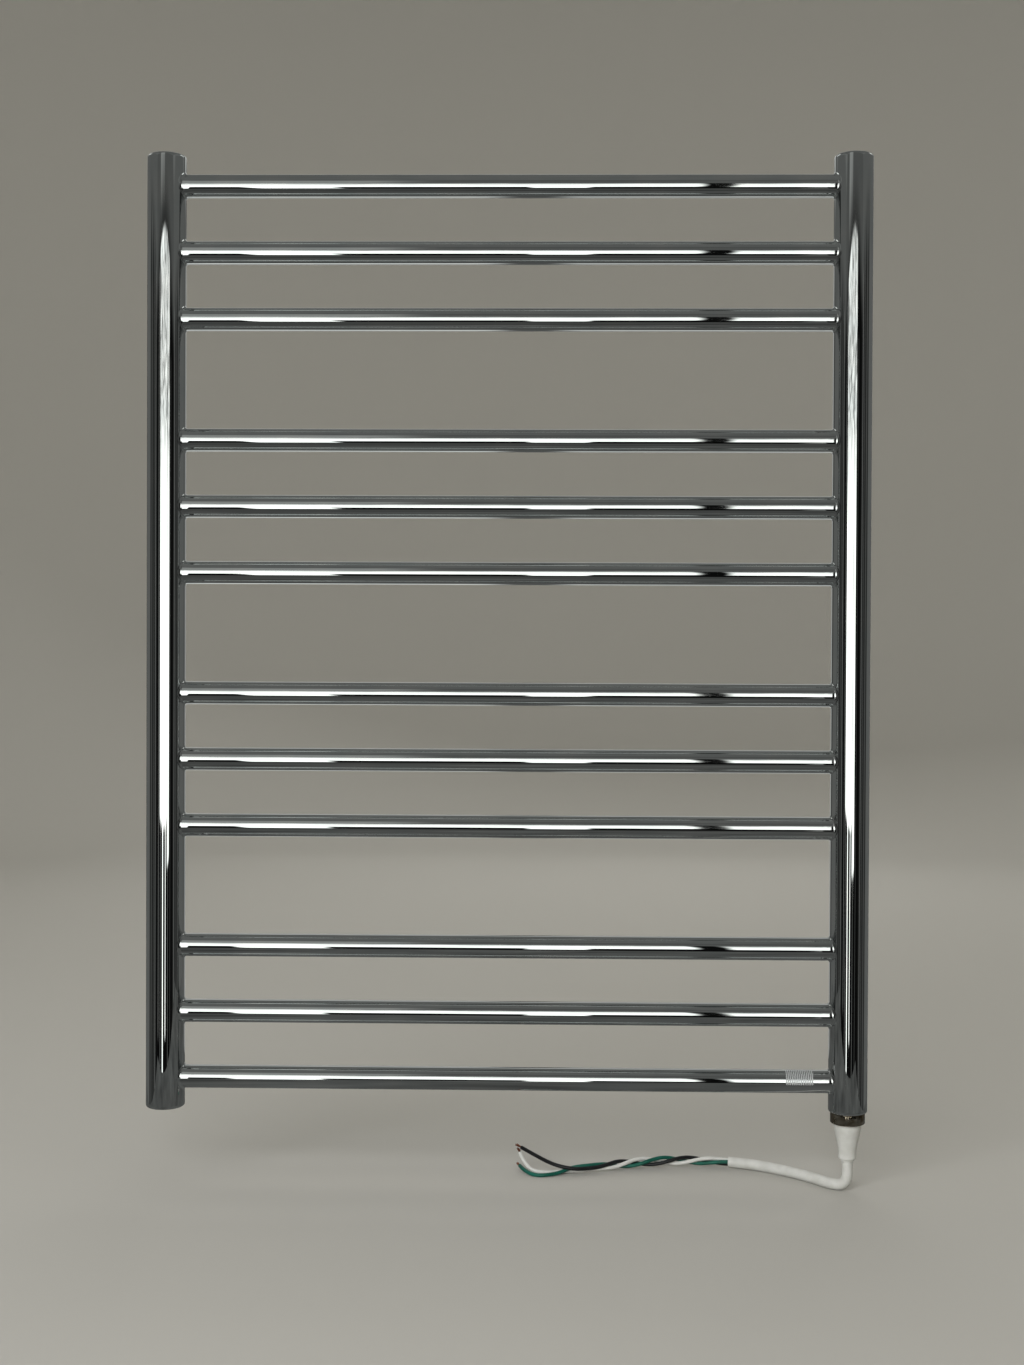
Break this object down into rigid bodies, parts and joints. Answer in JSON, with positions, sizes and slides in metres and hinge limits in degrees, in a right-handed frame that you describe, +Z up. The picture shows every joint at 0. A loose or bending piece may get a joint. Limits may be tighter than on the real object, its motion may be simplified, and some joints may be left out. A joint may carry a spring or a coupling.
{
  "type": "towel warmer rack",
  "caption": "Wall-hung electric towel warmer: round bars in spaced groups between two round uprights, with a heater head and short bare-ended flex below one upright.",
  "frame": {"origin": "middle of the four wall fixings, on the wall face; also midway between the upright ends", "axes": "+X to the viewer's right, -Y out of the wall towards the viewer, +Z up"},
  "size_m": [0.6, 0.072, 0.853],
  "materials": {
    "polished_chrome": "mirror-polished chromium plate on steel",
    "stainless_steel": "turned stainless steel",
    "nickel_plated_brass": "nickel plate on turned brass, warmer than chrome",
    "black_rubber": "moulded black rubber",
    "pressed_magnesia": "matt off-white pressed powder",
    "white_nylon": "moulded white nylon with a soft sheen",
    "white_pvc_sheath": "extruded white flexible PVC",
    "black_insulation": "extruded black insulation",
    "white_insulation": "extruded white insulation",
    "green_insulation": "extruded green insulation",
    "bare_copper": "bare stranded copper"
  },
  "bodies": {
    "root": {"upright_left": "polished_chrome", "upright_right": "polished_chrome", "bar_01": "polished_chrome", "bar_02": "polished_chrome", "bar_03": "polished_chrome", "bar_04": "polished_chrome", "bar_05": "polished_chrome", "bar_06": "polished_chrome", "bar_07": "polished_chrome", "bar_08": "polished_chrome", "bar_09": "polished_chrome", "bar_10": "polished_chrome", "bar_11": "polished_chrome", "bar_12": "polished_chrome", "end_cap_top_left": "polished_chrome", "end_cap_top_right": "polished_chrome", "end_cap_bottom_left": "polished_chrome", "heater_collar": "polished_chrome", "mounting_stub_top_left": "polished_chrome", "wall_post_top_left": "polished_chrome", "wall_rosette_top_left": "polished_chrome", "mounting_stub_top_right": "polished_chrome", "wall_post_top_right": "polished_chrome", "wall_rosette_top_right": "polished_chrome", "mounting_stub_bottom_left": "polished_chrome", "wall_post_bottom_left": "polished_chrome", "wall_rosette_bottom_left": "polished_chrome", "mounting_stub_bottom_right": "polished_chrome", "wall_post_bottom_right": "polished_chrome", "wall_rosette_bottom_right": "polished_chrome", "grub_screws": "stainless_steel", "heater_head": "nickel_plated_brass", "head_o_ring": "black_rubber", "heater_sheath": "stainless_steel", "heater_core": "pressed_magnesia", "resistance_coil": "stainless_steel", "thermal_cutout": "stainless_steel", "inner_leads": "white_insulation", "strain_relief": "white_nylon", "flex_sheath": "white_pvc_sheath", "twisted_wires": "black_insulation", "wire_end_black": "black_insulation", "wire_end_white": "white_insulation", "wire_end_green": "green_insulation", "copper_tip_black": "bare_copper", "copper_tip_white": "bare_copper", "copper_tip_green": "bare_copper"}
  },
  "joints": []
}
